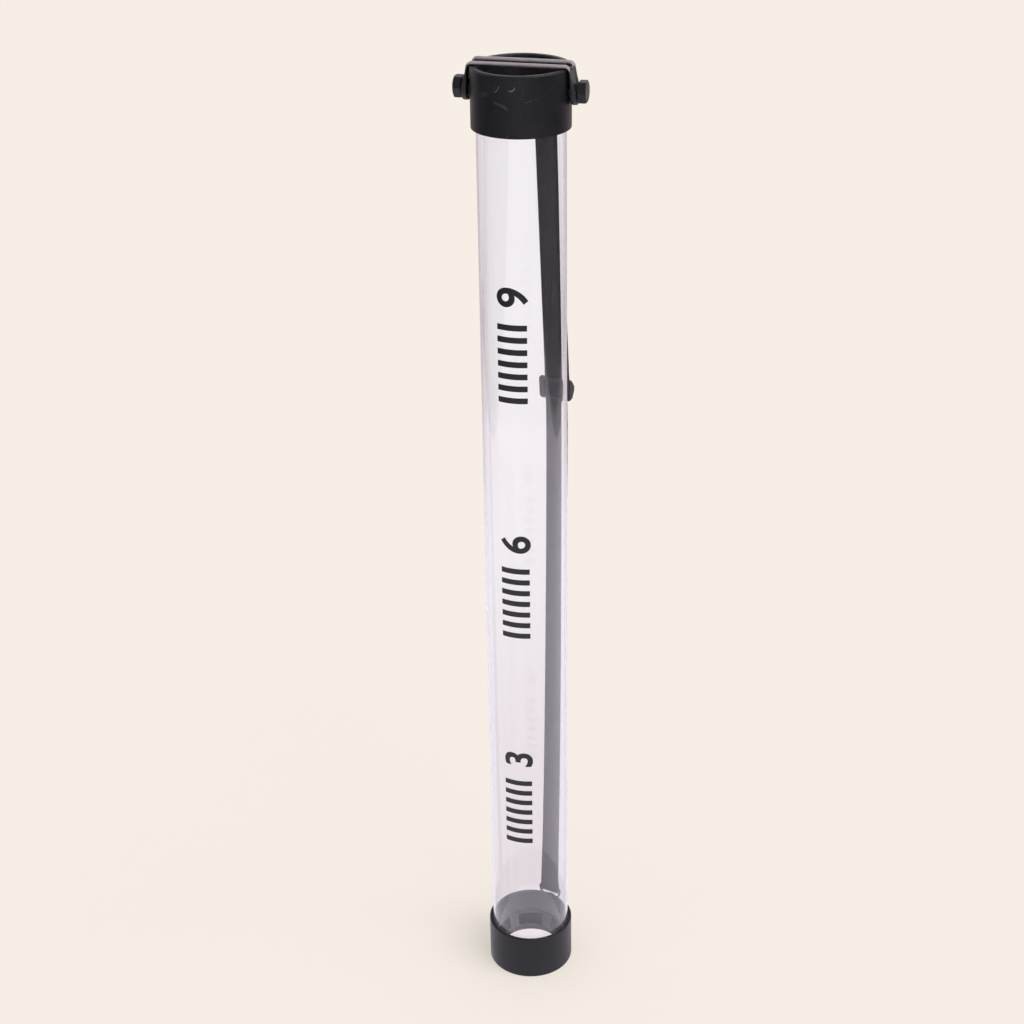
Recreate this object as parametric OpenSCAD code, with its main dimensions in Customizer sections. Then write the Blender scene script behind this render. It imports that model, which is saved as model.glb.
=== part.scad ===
// Ball pickup tube. A clear tube stands on a black collar that grips one ball at a time, and ends in a
// second collar whose open mouth is crossed by a rubber band looped over two hex pegs. A webbing carry
// strap with a slider runs down the back between two wire rings. Millimetres, +Z up. The origin is the
// centre of the base, and the pegs lie along X.

/* [Tube] */
// Outside diameter of the clear tube
tube_od = 73; // [71:0.5:80]
// Wall of the clear tube
tube_wall = 1.5; // [1:0.1:2.5]
// Height of the whole object, from base to rim
total_h = 883; // [600:1:1200]

/* [Top collar] */
// Height of the top collar
top_collar_h = 49; // [46:0.5:70]
// Wall of the top collar around the tube
top_collar_wall = 4; // [3:0.1:6]
// Distance from the rim down to the shoulder that stops the tube
top_shoulder_drop = 26.5; // [26:0.5:30]
// Step from the tube's bore out to the bore of the mouth
mouth_step = 0.3; // [0:0.1:0.6]
// Rounding of the rim's outer edge
rim_round = 1.2; // [0.6:0.1:1.8]
// Chamfer of the rim's inner edge
rim_chamfer = 1; // [0.4:0.1:1.5]

/* [Bottom collar] */
// Height of the bottom collar
bottom_collar_h = 45; // [42:0.5:70]
// Wall of the bottom collar around the tube
bottom_collar_wall = 3.5; // [3:0.1:6]
// Height of the inturned rim around the ball inlet
inlet_rim_h = 1.6; // [1.2:0.1:2]
// Step from the tube's bore in to the ball inlet
inlet_step = 0.6; // [0:0.1:1.2]
// Width of the shoulder that carries the gripper ring's flange
seat_w = 0.75; // [0.6:0.05:1]
// Rounding of the collar's outer edges
collar_round = 1; // [0.4:0.1:1.6]

/* [Gripper ring] */
// How far the ring reaches in from the tube's bore, to hold a ball back
grip_reach = 5.2; // [4:0.1:6.5]
// Height of the gripper ring's underside above the ground
gripper_lift = 2.4; // [2:0.1:4]
// Height of the whole gripper ring
gripper_h = 19.4; // [17:0.2:22]
// Height of the lip around the hole
lip_h = 2.6; // [2.5:0.1:4]
// Width of the lip
lip_w = 3.4; // [2.8:0.1:3.8]
// Rounding of the lip
lip_round = 1; // [0.6:0.1:1.2]
// Height of the flange under the tube
flange_h = 2; // [1.5:0.1:3]
// Height of solid wall between the lip and the windows
window_sill = 2; // [1.5:0.1:4]
// Number of windows
window_count = 6; // [4:1:8]
// Width of each window, in degrees
window_deg = 42; // [20:1:42]
// Turn of the first window from the rear, in degrees
window_turn = 14; // [-30:1:30]

/* [Pegs] */
// Diameter of the peg's shank
shank_d = 12; // [8:0.5:14]
// Distance from the rim down to the peg's axis
peg_drop = 19.2; // [18.5:0.1:20]
// Width of the hexagon across its flats
hex_af = 16.5; // [16:0.5:20]
// Thickness of the hexagonal head
hex_h = 6.5; // [4:0.1:9]
// Chamfer of the head's outer corners
hex_chamfer = 0.8; // [0.3:0.1:1.2]
// Length of shank left free for the band, between collar and head
peg_gap = 7.1; // [6.4:0.1:10]

/* [Rubber band] */
// Width of the band where it goes round a peg
band_w = 5; // [3:0.1:5.5]
// Thickness of the band
band_t = 4.4; // [3:0.1:5]
// Height of the band where it crosses the mouth
band_h = 2.6; // [2:0.1:4]

/* [Carry strap] */
// Width of the webbing
strap_w = 20; // [15:1:25]
// Thickness of the webbing
ply = 1.2; // [1:0.1:1.5]
// Turn of the strap from the rear towards the right-hand peg, in degrees
strap_turn = 14; // [0:1:30]
// Height of the lower ring's bar above the base
low_bar_z = 47.5; // [46:0.5:70]
// Distance from the rim down to the upper ring's bar
top_bar_drop = 51.6; // [49:0.1:70]
// Length of the sewn tail at the lower ring
tail_l = 28; // [20:1:60]
// Spare room in the lower loop, which lets the strap swing out
loop_slack = 1.2; // [1.2:0.1:2]
// Lean of the strap away from the tube below the upper ring, in degrees
upper_lean = 4.2; // [2.4:0.1:5]
// Lean of the strap away from the tube above the lower ring, in degrees
lower_lean = 4.5; // [2.4:0.1:6]

/* [Rings] */
// Diameter of the rings' wire
wire_d = 2.5; // [2:0.1:3]
// Inner radius of the bends at the ends of a ring's bar, to the wire's centre line
bar_bend = 1.6; // [1.6:0.1:2.4]
// Distance between the collar's wall and the plane of the rings
ring_stand_off = 4.9; // [4.4:0.1:8]
// Width of the moulded lug that holds a ring
lug_w = 6; // [4:0.5:8]
// Radius of the lug's rounded nose
lug_nose_r = 5; // [3.5:0.1:5]

/* [Slider] */
// Height of the slider's middle above the base
slider_z = 585; // [400:1:700]
// Overall width of the slider
slider_w = 30; // [29:0.5:36]
// Overall height of the slider
slider_h = 21; // [18:0.5:26]
// Radius of the slider's four corners, seen from the front
slider_corner = 3; // [1:0.5:4]
// Diameter of the slider's centre bar
slider_bar_d = 2.6; // [2:0.1:3.2]
// Thickness of the slider's end bars
end_bar_t = 1.8; // [1.2:0.1:2.4]
// Length of the sewn end above the slider
end_sewn_l = 26; // [20:1:40]

/* [Hidden] */
$fn = 96;

// Clearances
socket_fit = 0.05;      // tube in a collar, on the radius
thread_fit = 0.05;      // peg in its hole, on the radius
pin_fit = 0.08;         // ring in its lug, on the radius
ring_side_gap = 0.65;   // strap beside a ring
rail_gap = 0.4;         // strap beside the slider's rails
soft_gap = 0.3;         // webbing or rubber beside what it moves over
basket_gap = 0.2;       // gripper ring inside the collar
peg_inset = 0.2;        // peg's inner end behind the mouth's bore
band_side_gap = 0.1;    // band beside the collar
strand_gap = 0.4;       // strands above the rim
cut = 1;                // how far a cutter runs past what it cuts

// Radii of the tube and the collars
tube_r = tube_od / 2;
bore_r = tube_r - tube_wall;
socket_r = tube_r + socket_fit;
top_r = socket_r + top_collar_wall;
bottom_r = socket_r + bottom_collar_wall;
mouth_r = bore_r + mouth_step;
lead_in = 0.6;

// Levels, from the base up
tube_z0 = gripper_lift + gripper_h;
seat_z = tube_z0 - flange_h;
lip_top = gripper_lift + lip_h;
window_z = lip_top + window_sill;
tube_z1 = total_h - top_shoulder_drop;
top_collar_z = total_h - top_collar_h;
peg_z = total_h - peg_drop;
top_bar_z = total_h - top_bar_drop;

// Inlet and gripper ring
inlet_r = bore_r - inlet_step;
grip_r = bore_r - grip_reach;
lip_r = grip_r + lip_w;
cavity_r = socket_r - seat_w;
window_head = 0.4;

// Pegs and band
shank_r = shank_d / 2;
peg_start = mouth_r + peg_inset;
head_x = top_r + peg_gap;
hex_r = hex_af / 2 / cos(30);
band_in = shank_r + thread_fit;
band_out = band_in + band_t;
band_lean = 0.2;
band_x = top_r + (peg_gap - band_w) / 2 + band_lean;
corner_x = sqrt(top_r * top_r - band_in * band_in) + band_side_gap;
corner_t = 1.6;
strand_z = total_h + strand_gap;
strand_half = corner_x + corner_t;
strand_edge = 0.8;

// Rings, webbing and slider. Seen from the side, x is the distance from the plane of the rings.
ring_r = top_r + ring_stand_off;
wire_r = wire_d / 2;
ring_half = strap_w / 2 + ring_side_gap + wire_r;
ring_h = bar_bend + ring_half;
ring_sag = ring_half - sqrt(ring_half * ring_half - lug_w * lug_w / 4);
slider_bar_r = slider_bar_d / 2;
loop_in = slider_bar_r + (ply + soft_gap) / 2;
loop_out = loop_in + ply;
loop_leg = 2.4;
merge_h = 12;
slider_bar_x = loop_in - slider_bar_r;
end_bar_x = -loop_out - soft_gap - end_bar_t;
end_bar_h = 3.6;
rail_t = 2;
end_merge_h = 10;
lug_root = 1.5;
tack_l = strap_w - 5;
tack_h = 2;
tack_inset = 2;
tack_proud = 0.25;

// The line that the strap hangs along, from the upper bar to the lower loop. It leaves both ends straight,
// and is slack between them. Levels on the straight lengths are taken as if the strap hung plumb from its
// bars.
loop_z = low_bar_z - loop_slack;
slider_y = top_bar_z - (top_bar_z - slider_z) / cos(upper_lean);
end_top_y = slider_y + end_merge_h + end_sewn_l;
merge_y = low_bar_z + merge_h;
upper_straight = top_bar_z - slider_y + slider_h / 2 + 7;
lower_straight = merge_y + tail_l + 7 - loop_z;
upper_way = [sin(upper_lean), -cos(upper_lean)];
lower_way = [sin(lower_lean), cos(lower_lean)];
slack_from = [0, top_bar_z] + upper_straight * upper_way;
slack_to = [0, loop_z] + lower_straight * lower_way;
slack_pull = [slack_from + 30 * upper_way, slack_to + 120 * lower_way];
slack_steps = 24;
function slack_at(t) = pow(1 - t, 3) * slack_from + 3 * pow(1 - t, 2) * t * slack_pull[0]
    + 3 * (1 - t) * t * t * slack_pull[1] + pow(t, 3) * slack_to;
function slack_way(t) = pow(1 - t, 2) * (slack_pull[0] - slack_from)
    + 2 * (1 - t) * t * (slack_pull[1] - slack_pull[0]) + t * t * (slack_to - slack_pull[1]);
slack_turns = [for (i = [0 : slack_steps]) slack_way(i / slack_steps)];
hang_line = concat([[0, top_bar_z]], [for (i = [0 : slack_steps]) slack_at(i / slack_steps)], [[0, loop_z]]);
hang_lean = concat([upper_lean], [for (way = slack_turns) atan2(way[0], -way[1])], [-lower_lean]);

// Places children, drawn with x outwards and y up, on the back of the tube, spread along the strap's width
module on_strap(width, aside = 0) {
    rotate([0, 0, 90 - strap_turn]) translate([ring_r, aside, 0])
        rotate([90, 0, 0]) translate([0, 0, -width / 2]) linear_extrude(width) children();
}

// Leans flat children outwards about a bar at height y, by the angle at which the strap leaves that bar
module leaning(y, lean) {
    translate([0, y]) rotate(lean) translate([0, -y]) children();
}

// The strap's faces at a distance x from the line that it hangs along
function beside(x) = [for (i = [0 : len(hang_line) - 1])
    hang_line[i] + x * [cos(hang_lean[i]), sin(hang_lean[i])]];
function backwards(list) = [for (i = [len(list) - 1 : -1 : 0]) list[i]];

// Rectangle with rounded corners, centred
module round_rect(w, h, r) {
    square([w - 2 * r, h], center = true);
    square([w, h - 2 * r], center = true);
    for (x = [-1, 1], y = [-1, 1]) translate([x * (w / 2 - r), y * (h / 2 - r)]) circle(r);
}

// Cutter for the chamfer of a bore's edge, drawn at the corner. up is 1 at the top, -1 at the bottom.
module chamfer(size, up) {
    polygon([[-cut, up * cut], [size + cut, up * cut], [-cut, -up * (size + cut)]]);
}

// Extruded tube, cut square at both ends
module clear_tube() {
    color([0.93, 0.9, 0.94, 0.35]) translate([0, 0, tube_z0]) difference() {
        cylinder(r = tube_r, h = tube_z1 - tube_z0);
        translate([0, 0, -cut]) cylinder(r = bore_r, h = tube_z1 - tube_z0 + 2 * cut);
    }
}

// Moulded lug with a rounded nose, which holds a ring's pin. wall_r is the collar's outside radius.
module lug(pin_z, wall_r) {
    root_x = wall_r - lug_root - ring_r;
    on_strap(lug_w) difference() {
        union() {
            translate([0, pin_z]) circle(lug_nose_r);
            translate([root_x, pin_z - lug_nose_r]) square([-root_x, 2 * lug_nose_r]);
        }
        translate([0, pin_z]) circle(wire_r + ring_sag + pin_fit);
    }
}

// Top collar: a socket for the tube, a shoulder above it, and a rounded rim
module top_collar() {
    color([0.09, 0.09, 0.095]) {
        difference() {
            rotate_extrude() difference() {
                union() {
                    translate([mouth_r, top_collar_z]) square([top_r - mouth_r - rim_round, top_collar_h]);
                    translate([mouth_r, top_collar_z]) square([top_r - mouth_r, top_collar_h - rim_round]);
                    translate([top_r - rim_round, total_h - rim_round]) circle(rim_round);
                }
                translate([0, top_collar_z - cut]) square([socket_r, tube_z1 - top_collar_z + cut]);
                translate([mouth_r, total_h]) chamfer(rim_chamfer, 1);
                translate([socket_r, top_collar_z]) chamfer(lead_in, -1);
            }
            translate([0, 0, peg_z]) rotate([0, 90, 0])
                cylinder(r = shank_r + thread_fit, h = 2 * (top_r + cut), center = true);
        }
        lug(top_bar_z + ring_h, top_r);
    }
}

// Bottom collar: a socket for the tube, a shoulder for the gripper ring, and an inturned base rim
module bottom_collar() {
    color([0.09, 0.09, 0.095]) {
        rotate_extrude() difference() {
            union() {
                translate([0, collar_round]) square([bottom_r, bottom_collar_h - 2 * collar_round]);
                square([bottom_r - collar_round, bottom_collar_h]);
                for (z = [collar_round, bottom_collar_h - collar_round])
                    translate([bottom_r - collar_round, z]) circle(collar_round);
            }
            translate([-cut, -cut]) square([inlet_r + cut, bottom_collar_h + 2 * cut]);
            translate([-cut, inlet_rim_h]) square([cavity_r + cut, bottom_collar_h]);
            translate([-cut, seat_z]) square([socket_r + cut, bottom_collar_h]);
            translate([socket_r, bottom_collar_h]) chamfer(lead_in, 1);
        }
        lug(low_bar_z - ring_h, bottom_r);
    }
}

// Elastic ring: a rounded lip, a windowed cone above it, and a flange that the tube holds down
module gripper_ring() {
    color([0.13, 0.13, 0.14]) difference() {
        rotate_extrude() {
            translate([grip_r, gripper_lift + lip_round]) square([lip_round, lip_h - 2 * lip_round]);
            for (z = [gripper_lift + lip_round, lip_top - lip_round])
                translate([grip_r + lip_round, z]) circle(lip_round);
            polygon([[grip_r + lip_round, gripper_lift], [lip_r, gripper_lift], [lip_r, lip_top],
                [cavity_r - basket_gap, seat_z], [tube_r, seat_z], [tube_r, tube_z0],
                [bore_r, tube_z0], [grip_r + lip_round, lip_top]]);
        }
        for (i = [0 : window_count - 1])
            rotate([0, 0, 90 + window_turn + i * 360 / window_count - window_deg / 2])
                rotate_extrude(angle = window_deg) translate([grip_r - cut, window_z])
                    square([socket_r - grip_r + 2 * cut, seat_z - window_head - window_z]);
    }
}

// Hex-headed peg, screwed into the collar's wall and flush with its bore. side is 1 right, -1 left.
module peg(side) {
    color([0.1, 0.1, 0.105]) translate([0, 0, peg_z]) rotate([0, side * 90, 0]) {
        translate([0, 0, peg_start]) cylinder(r = shank_r, h = head_x - peg_start);
        intersection() {
            translate([0, 0, head_x]) rotate([0, 0, 30]) cylinder(r = hex_r, h = hex_h, $fn = 6);
            union() {
                translate([0, 0, head_x - cut]) cylinder(r = hex_r, h = hex_h + cut - hex_chamfer);
                translate([0, 0, head_x + hex_h - hex_chamfer])
                    cylinder(r1 = hex_r, r2 = hex_r - 2 * hex_chamfer, h = hex_chamfer);
            }
        }
    }
}
module left_peg() peg(-1);
module right_peg() peg(1);

// One of the band's two strands across the mouth. side is 1 rear, -1 front.
module strand(side) {
    color([0.24, 0.22, 0.24]) translate([-strand_half, side * (band_in + band_t / 2), strand_z + band_h / 2])
        rotate([90, 0, 90]) linear_extrude(2 * strand_half) round_rect(band_t, band_h, strand_edge);
}
module band_front_strand() strand(-1);
module band_rear_strand() strand(1);

// One end of the band: two legs down the collar's side, and the bend round the peg
module band_end(side) {
    leg = [[corner_x, total_h], [strand_half, total_h], [band_x + band_w, peg_z], [band_x, peg_z]];
    color([0.16, 0.155, 0.165]) mirror([side < 0 ? 1 : 0, 0, 0]) {
        for (y = [-band_out, band_in]) translate([0, y + band_t, 0]) rotate([90, 0, 0])
            linear_extrude(band_t) polygon(leg);
        translate([band_x, 0, peg_z]) rotate([0, 90, 0]) rotate([0, 0, -90]) rotate_extrude(angle = 180)
            translate([band_in, 0]) square([band_t, band_w]);
    }
}
module band_left_end() band_end(-1);
module band_right_end() band_end(1);

// D-ring of bent wire, drawn flat: its bar lies on the x axis and its round side reaches y = -ring_h
module flat_ring() {
    $fn = 32;
    straight = ring_half - bar_bend;
    translate([-straight, 0, 0]) rotate([0, 90, 0]) cylinder(r = wire_r, h = 2 * straight);
    for (side = [0, 1]) mirror([side, 0, 0]) translate([straight, -bar_bend, 0])
        rotate_extrude(angle = 90) translate([bar_bend, 0]) circle(wire_r);
    translate([0, -bar_bend, 0]) rotate([0, 0, 180])
        rotate_extrude(angle = 180) translate([ring_half, 0]) circle(wire_r);
}
module lower_ring() {
    color([0.11, 0.11, 0.12]) rotate([0, 0, 90 - strap_turn]) translate([ring_r, 0, low_bar_z])
        rotate([90, 0, 90]) flat_ring();
}
module upper_ring() {
    color([0.11, 0.11, 0.12]) rotate([0, 0, 90 - strap_turn]) translate([ring_r, 0, top_bar_z])
        rotate([-90, 0, 90]) flat_ring();
}

// Half of a bend of webbing round a bar. up is 1 over the bar, -1 under it.
module bend(inner_r, up) {
    intersection() {
        difference() {
            circle(inner_r + ply);
            circle(inner_r);
        }
        translate([0, up * (inner_r + ply)]) square(2 * (inner_r + ply), center = true);
    }
}

// The strap from over the upper bar, down past the slider and round the lower bar to its sewn tail
module carry_strap() {
    color([0.07, 0.07, 0.075]) on_strap(strap_w) {
        polygon(concat(beside(-loop_out), backwards(beside(-loop_in))));
        leaning(top_bar_z, upper_lean) {
            translate([0, top_bar_z]) bend(loop_in, 1);
            translate([loop_in, top_bar_z - loop_leg]) square([ply, loop_leg]);
        }
        leaning(loop_z, -lower_lean) {
            translate([0, loop_z]) bend(loop_in, -1);
            translate([loop_in, loop_z]) square([ply, loop_slack + wire_r]);
            polygon([[loop_in, low_bar_z + wire_r], [loop_out, low_bar_z + wire_r],
                [ply - loop_in, merge_y], [-loop_in, merge_y]]);
            translate([-loop_in, merge_y]) square([ply, tail_l]);
        }
    }
}

// The doubled length of the strap, from the upper ring back down to the slider
module strap_return() {
    color([0.07, 0.07, 0.075]) on_strap(strap_w) leaning(top_bar_z, upper_lean)
        translate([loop_in, end_top_y]) square([ply, top_bar_z - loop_leg - end_top_y]);
}

// The strap's sewn end round the slider's centre bar
module strap_end_loop() {
    merge = slider_y + end_merge_h;
    inner_x = slider_bar_x - slider_bar_r - ply;
    color([0.07, 0.07, 0.075]) on_strap(strap_w) leaning(top_bar_z, upper_lean) {
        translate([slider_bar_x, slider_y]) bend(slider_bar_r, -1);
        translate([loop_in, slider_y]) square([ply, end_top_y - slider_y]);
        translate([inner_x, slider_y]) square([ply, slider_bar_r]);
        polygon([[inner_x, slider_y + slider_bar_r], [inner_x + ply, slider_y + slider_bar_r],
            [loop_in, merge], [loop_in - ply, merge]]);
        translate([loop_in - ply, merge]) square([ply, end_sewn_l]);
    }
}

// Three-bar slider with solid side rails: end bars inside the strap, centre bar outside it
module strap_slider() {
    rail_w = (slider_w - strap_w) / 2 - rail_gap;
    half_h = slider_h / 2;
    foot_x = end_bar_x + end_bar_t;
    top_x = slider_bar_x + slider_bar_r;
    depth = top_x - end_bar_x;
    rail = [[end_bar_x, -half_h], [foot_x, -half_h], [top_x, -rail_t], [top_x, rail_t], [foot_x, half_h],
        [end_bar_x, half_h]];
    color([0.1, 0.1, 0.105]) intersection() {
        union() {
            for (side = [-1, 1]) on_strap(rail_w, side * (slider_w - rail_w) / 2)
                leaning(top_bar_z, upper_lean) translate([0, slider_y]) polygon(rail);
            on_strap(slider_w - rail_w) leaning(top_bar_z, upper_lean) translate([0, slider_y]) {
                translate([slider_bar_x, 0]) circle(slider_bar_r);
                for (side = [-1, 1])
                    translate([end_bar_x + end_bar_t / 2, side * (slider_h - end_bar_h) / 2])
                        round_rect(end_bar_t, end_bar_h, end_bar_t / 3);
            }
        }
        rotate([0, 0, 90 - strap_turn]) translate([ring_r, 0, top_bar_z]) rotate([0, -upper_lean, 0])
            translate([end_bar_x - cut, 0, slider_y - top_bar_z]) rotate([0, 90, 0])
                linear_extrude(depth + 2 * cut) round_rect(slider_h, slider_w, slider_corner);
    }
}

// A bar tack: a close row of stitches across two plies, proud of both faces. x0 and x1 are the faces.
module bartack(x0, x1, y) {
    for (x = [x0 - tack_proud, x1]) translate([x, y]) square([tack_proud, tack_h]);
}
module lower_bartacks() {
    color([0.14, 0.14, 0.15]) on_strap(tack_l) leaning(loop_z, -lower_lean)
        for (y = [tack_inset, tail_l - tack_inset - tack_h]) bartack(-loop_out, ply - loop_in, merge_y + y);
}
module slider_bartacks() {
    color([0.14, 0.14, 0.15]) on_strap(tack_l) leaning(top_bar_z, upper_lean)
        for (y = [tack_inset, end_sewn_l - tack_inset - tack_h])
            bartack(loop_in - ply, loop_out, slider_y + end_merge_h + y);
}

clear_tube();
top_collar();
bottom_collar();
gripper_ring();
left_peg();
right_peg();
band_front_strand();
band_rear_strand();
band_left_end();
band_right_end();
upper_ring();
lower_ring();
carry_strap();
strap_return();
strap_end_loop();
strap_slider();
lower_bartacks();
slider_bartacks();
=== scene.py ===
import math
import random

import bmesh
import bpy
from mathutils import Matrix, Vector


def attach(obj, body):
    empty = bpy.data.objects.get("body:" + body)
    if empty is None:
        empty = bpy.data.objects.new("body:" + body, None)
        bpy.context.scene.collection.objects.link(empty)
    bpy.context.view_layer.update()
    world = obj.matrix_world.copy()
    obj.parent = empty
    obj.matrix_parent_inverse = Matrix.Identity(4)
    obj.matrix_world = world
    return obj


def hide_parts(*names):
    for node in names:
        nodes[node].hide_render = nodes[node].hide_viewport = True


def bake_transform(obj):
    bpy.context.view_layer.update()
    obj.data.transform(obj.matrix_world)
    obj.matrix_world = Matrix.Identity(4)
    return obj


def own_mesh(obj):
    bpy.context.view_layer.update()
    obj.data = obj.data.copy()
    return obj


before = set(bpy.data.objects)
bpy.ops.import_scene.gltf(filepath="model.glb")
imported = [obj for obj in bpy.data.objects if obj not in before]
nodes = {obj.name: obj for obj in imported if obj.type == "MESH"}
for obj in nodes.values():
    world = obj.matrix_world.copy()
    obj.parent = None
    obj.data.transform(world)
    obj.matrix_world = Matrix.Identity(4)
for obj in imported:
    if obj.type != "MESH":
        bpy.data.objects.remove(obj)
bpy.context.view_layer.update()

# Clear tube. Extruded clear plastic with a 1.5 mm wall and a faint lilac tint, cut square at both ends.
# It stands on the gripper ring's flange and reaches up to the shoulder inside the top collar. Balls going
# through leave fine lengthwise drag lines. A pale film, stronger in the lower part, is partly real haze and partly
# a painted reflection: it stands in for the pale veil that the floor throws on the lower tube.
TUBE_R, BORE_R = 0.0365, 0.035
TUBE_Z0, TUBE_Z1, TUBE_EDGE, TUBE_STEPS = 0.0218, 0.8565, 0.0002, 288
HAZE_FROM, HAZE_TO, HAZE = 0.66, 0.52, (0.85, 0.825, 1.0, 1)


def finished(name, body, material, replaced=(), smooth_deg=35):
    """The named mesh as a piece of the object: smooth, with its material, riding on its body."""
    piece = bpy.data.objects[name]
    mesh = piece.data
    mesh.polygons.foreach_set("use_smooth", [True] * len(mesh.polygons))
    mesh.set_sharp_from_angle(angle=math.radians(smooth_deg))
    mesh.materials.clear()
    mesh.materials.append(material)
    if body:
        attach(piece, body)
    if replaced:
        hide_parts(*replaced)
    return piece


def add_mesh(name, bm):
    """A new object in the scene from a bmesh, with its faces pointing outwards."""
    bmesh.ops.recalc_face_normals(bm, faces=bm.faces)
    mesh = bpy.data.meshes.new(name)
    bm.to_mesh(mesh)
    bm.free()
    piece = bpy.data.objects.new(name, mesh)
    bpy.context.scene.collection.objects.link(piece)
    return piece


def turned(name, profile, steps):
    """A ring-shaped solid: the closed profile of (radius, height) points turned round the Z axis."""
    bm = bmesh.new()
    rings = []
    for i in range(steps):
        angle = 2 * math.pi * i / steps
        rings.append([bm.verts.new((r * math.cos(angle), r * math.sin(angle), z)) for r, z in profile])
    for i in range(steps):
        a, b = rings[i], rings[(i + 1) % steps]
        for j in range(len(profile)):
            k = (j + 1) % len(profile)
            bm.faces.new((a[j], b[j], b[k], a[k]))
    return add_mesh(name, bm)


class Nodes:
    """A material's node tree, built with one call for each node."""

    def __init__(self, name):
        self.material = bpy.data.materials.new(name)
        self.material.use_nodes = True
        self.tree = self.material.node_tree
        self.tree.nodes.clear()
        self.out = self.tree.nodes.new("ShaderNodeOutputMaterial")
        self.place = self.add("TexCoord").outputs["Object"]

    def add(self, kind, settings=None, **inputs):
        node = self.tree.nodes.new("ShaderNode" + kind)
        for key, value in (settings or {}).items():
            setattr(node, key, value)
        for key, value in inputs.items():
            self.put(node.inputs[int(key[1:]) if key[1:].isdigit() else key.replace("_", " ")], value)
        return node

    def put(self, socket, value):
        if isinstance(value, bpy.types.NodeSocket):
            self.tree.links.new(value, socket)
        else:
            socket.default_value = value

    def math(self, operation, a, b=0.0):
        return self.add("Math", {"operation": operation}, _0=a, _1=b).outputs[0]

    def noise(self, scale, detail=4.0, rough=0.5, stretch=(1, 1, 1)):
        place = self.add("Mapping", None, Vector=self.place, Scale=stretch).outputs[0]
        return self.add("TexNoise", None, Vector=place, Scale=scale, Detail=detail, Roughness=rough).outputs[0]

    def span(self, value, low, high, out_low=0.0, out_high=1.0):
        node = self.add("MapRange", {"interpolation_type": "SMOOTHSTEP"}, Value=value)
        for key, number in zip(("From Min", "From Max", "To Min", "To Max"), (low, high, out_low, out_high)):
            node.inputs[key].default_value = number
        return node.outputs[0]

    def blend(self, share, a, b):
        node = self.add("Mix", {"data_type": "RGBA"})
        self.put(node.inputs[0], share)
        self.put(node.inputs[6], a)
        self.put(node.inputs[7], b)
        return node.outputs[2]

    def bump(self, height, strength, depth):
        return self.add("Bump", None, Height=height, Strength=strength, Distance=depth).outputs[0]


def clear_plastic():
    n = Nodes("clear_plastic")
    streaks = n.noise(240.0, 3.0, 0.55, (1, 1, 0.012))
    wave = n.noise(90.0, 1.0, 0.4, (1, 1, 0.02))
    glass = n.add("BsdfPrincipled", None, Roughness=n.span(streaks, 0.52, 0.78, 0.012, 0.032), IOR=1.49)
    n.put(glass.inputs["Base Color"], (0.997, 0.993, 0.998, 1))
    n.put(glass.inputs["Transmission Weight"], 1.0)
    n.put(glass.inputs["Normal"], n.bump(wave, 0.05, 0.0004))
    behind = n.add("BsdfTranslucent", None, Color=HAZE)
    front = n.add("BsdfDiffuse", None, Color=HAZE)
    haze = n.add("MixShader", None, _0=0.5, _1=behind.outputs[0], _2=front.outputs[0])
    height = n.add("SeparateXYZ", None, Vector=n.place).outputs[2]
    # Share of the pale film, growing towards the bottom: partly real haze, partly a painted reflection of the veil
    # on the lower tube.
    haze_and_veil_share = n.math("MULTIPLY", n.span(height, HAZE_FROM, HAZE_TO, 0.008, 0.045),
                    n.span(streaks, 0.3, 0.7, 0.9, 1.1))
    body = n.add("MixShader", None, _0=haze_and_veil_share, _1=glass.outputs[0], _2=haze.outputs[0])
    open_air = n.add("BsdfTransparent", None, Color=(0.97, 0.955, 0.97, 1))
    rays = n.add("LightPath")
    lit = n.math("MAXIMUM", rays.outputs["Is Shadow Ray"], rays.outputs["Is Diffuse Ray"])
    both = n.add("MixShader", None, _0=lit, _1=body.outputs[0], _2=open_air.outputs[0])
    n.tree.links.new(both.outputs[0], n.out.inputs["Surface"])
    tint = n.add("VolumeAbsorption", None, Color=(0.8, 0.62, 0.7, 1), Density=10.0)
    n.tree.links.new(tint.outputs[0], n.out.inputs["Volume"])
    return n.material


turned("tube_wall", [
    (BORE_R, TUBE_Z0 + TUBE_EDGE), (BORE_R + TUBE_EDGE, TUBE_Z0), (TUBE_R - TUBE_EDGE, TUBE_Z0),
    (TUBE_R, TUBE_Z0 + TUBE_EDGE), (TUBE_R, TUBE_Z1 - TUBE_EDGE), (TUBE_R - TUBE_EDGE, TUBE_Z1),
    (BORE_R + TUBE_EDGE, TUBE_Z1), (BORE_R, TUBE_Z1 - TUBE_EDGE)], TUBE_STEPS)
finished("tube_wall", "tube", clear_plastic(), ["clear_tube"])

# Level marks. Black ink printed on the front of the tube, in three blocks that read from bottom to top: a row of
# plain bars and then the level's number. The ink is a film of a few hundredths of a millimetre.
MARK_AT, MARK_LEVELS = math.radians(-92), {"3": 0.2115, "6": 0.4345, "9": 0.6614}
MARK_W, INK = 0.026, 0.00003
BAR_T, BAR_PITCH, BAR_COUNT, BAR_CUTS = 0.0052, 0.0108, 7, 20
BARS_FROM, FIGURE_FROM = -0.051, 0.031
FIGURE_SIZE, FIGURE_BOLD = MARK_W * 1.4, 0.0008
CUT_PITCH, CUT_SHIFT, CUTS_EACH_WAY = 0.0018, 0.0004, 7


def socket_id(tree, name):
    return next(item.identifier for item in tree.interface.items_tree if item.name == name)


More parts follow.
